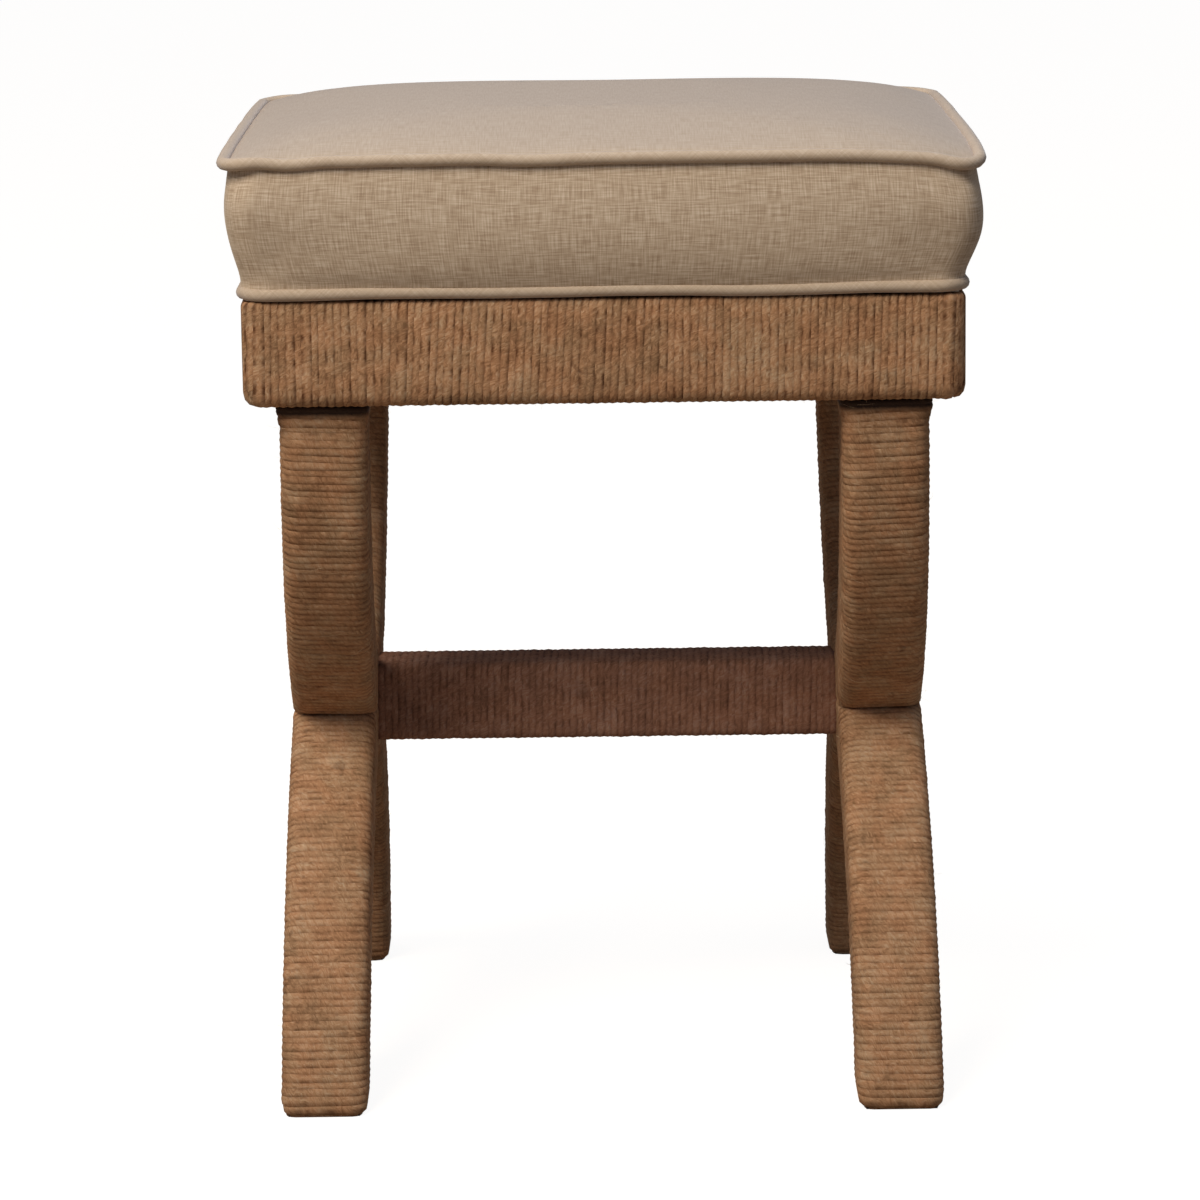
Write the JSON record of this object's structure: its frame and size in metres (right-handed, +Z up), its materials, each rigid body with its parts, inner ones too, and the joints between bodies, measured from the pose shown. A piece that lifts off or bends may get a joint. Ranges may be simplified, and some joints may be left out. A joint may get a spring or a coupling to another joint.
{
  "type": "twine-wound stool",
  "caption": "Upholstered stool with twine-wound curved X ends, a wound box apron, a straight stretcher and a piped box cushion.",
  "frame": {"origin": "on the floor, under the middle of the seat", "axes": "+Z up, +X to the right of someone facing the stool's front, front towards -Y"},
  "size_m": [0.382, 0.344, 0.5074],
  "materials": {
    "timber": "sawn hardwood",
    "dowel": "turned beech",
    "plywood": "sanded plywood",
    "twine": "natural jute",
    "linen": "plain woven linen",
    "lining": "calico",
    "foam": "open-cell foam",
    "steel": "zinc plated"
  },
  "bodies": {
    "root": {"front_rail": "timber", "front_rail_winding": "twine", "rear_rail": "timber", "rear_rail_winding": "twine", "left_rail": "timber", "left_rail_winding": "twine", "left_leg_bearer": "timber", "left_front_leg": "timber", "left_front_upper_winding": "twine", "left_front_lower_winding": "twine", "left_rear_leg": "timber", "left_rear_upper_winding": "twine", "left_rear_lower_winding": "twine", "right_rail": "timber", "right_rail_winding": "twine", "right_leg_bearer": "timber", "right_front_leg": "timber", "right_front_upper_winding": "twine", "right_front_lower_winding": "twine", "right_rear_leg": "timber", "right_rear_upper_winding": "twine", "right_rear_lower_winding": "twine", "stretcher": "timber", "stretcher_winding": "twine", "rail_dowels": "dowel", "stretcher_dowels": "dowel", "bearer_screws": "steel", "leg_screws": "steel", "seat_screws": "steel", "side_screws": "steel", "stretcher_bolts": "steel", "barrel_nuts": "steel", "lower_piping": "linen", "upper_piping": "linen", "seat_board": "plywood", "base_cloth": "lining", "boxing_band": "linen", "top_panel": "linen", "foam_core": "foam"}
  },
  "joints": []
}
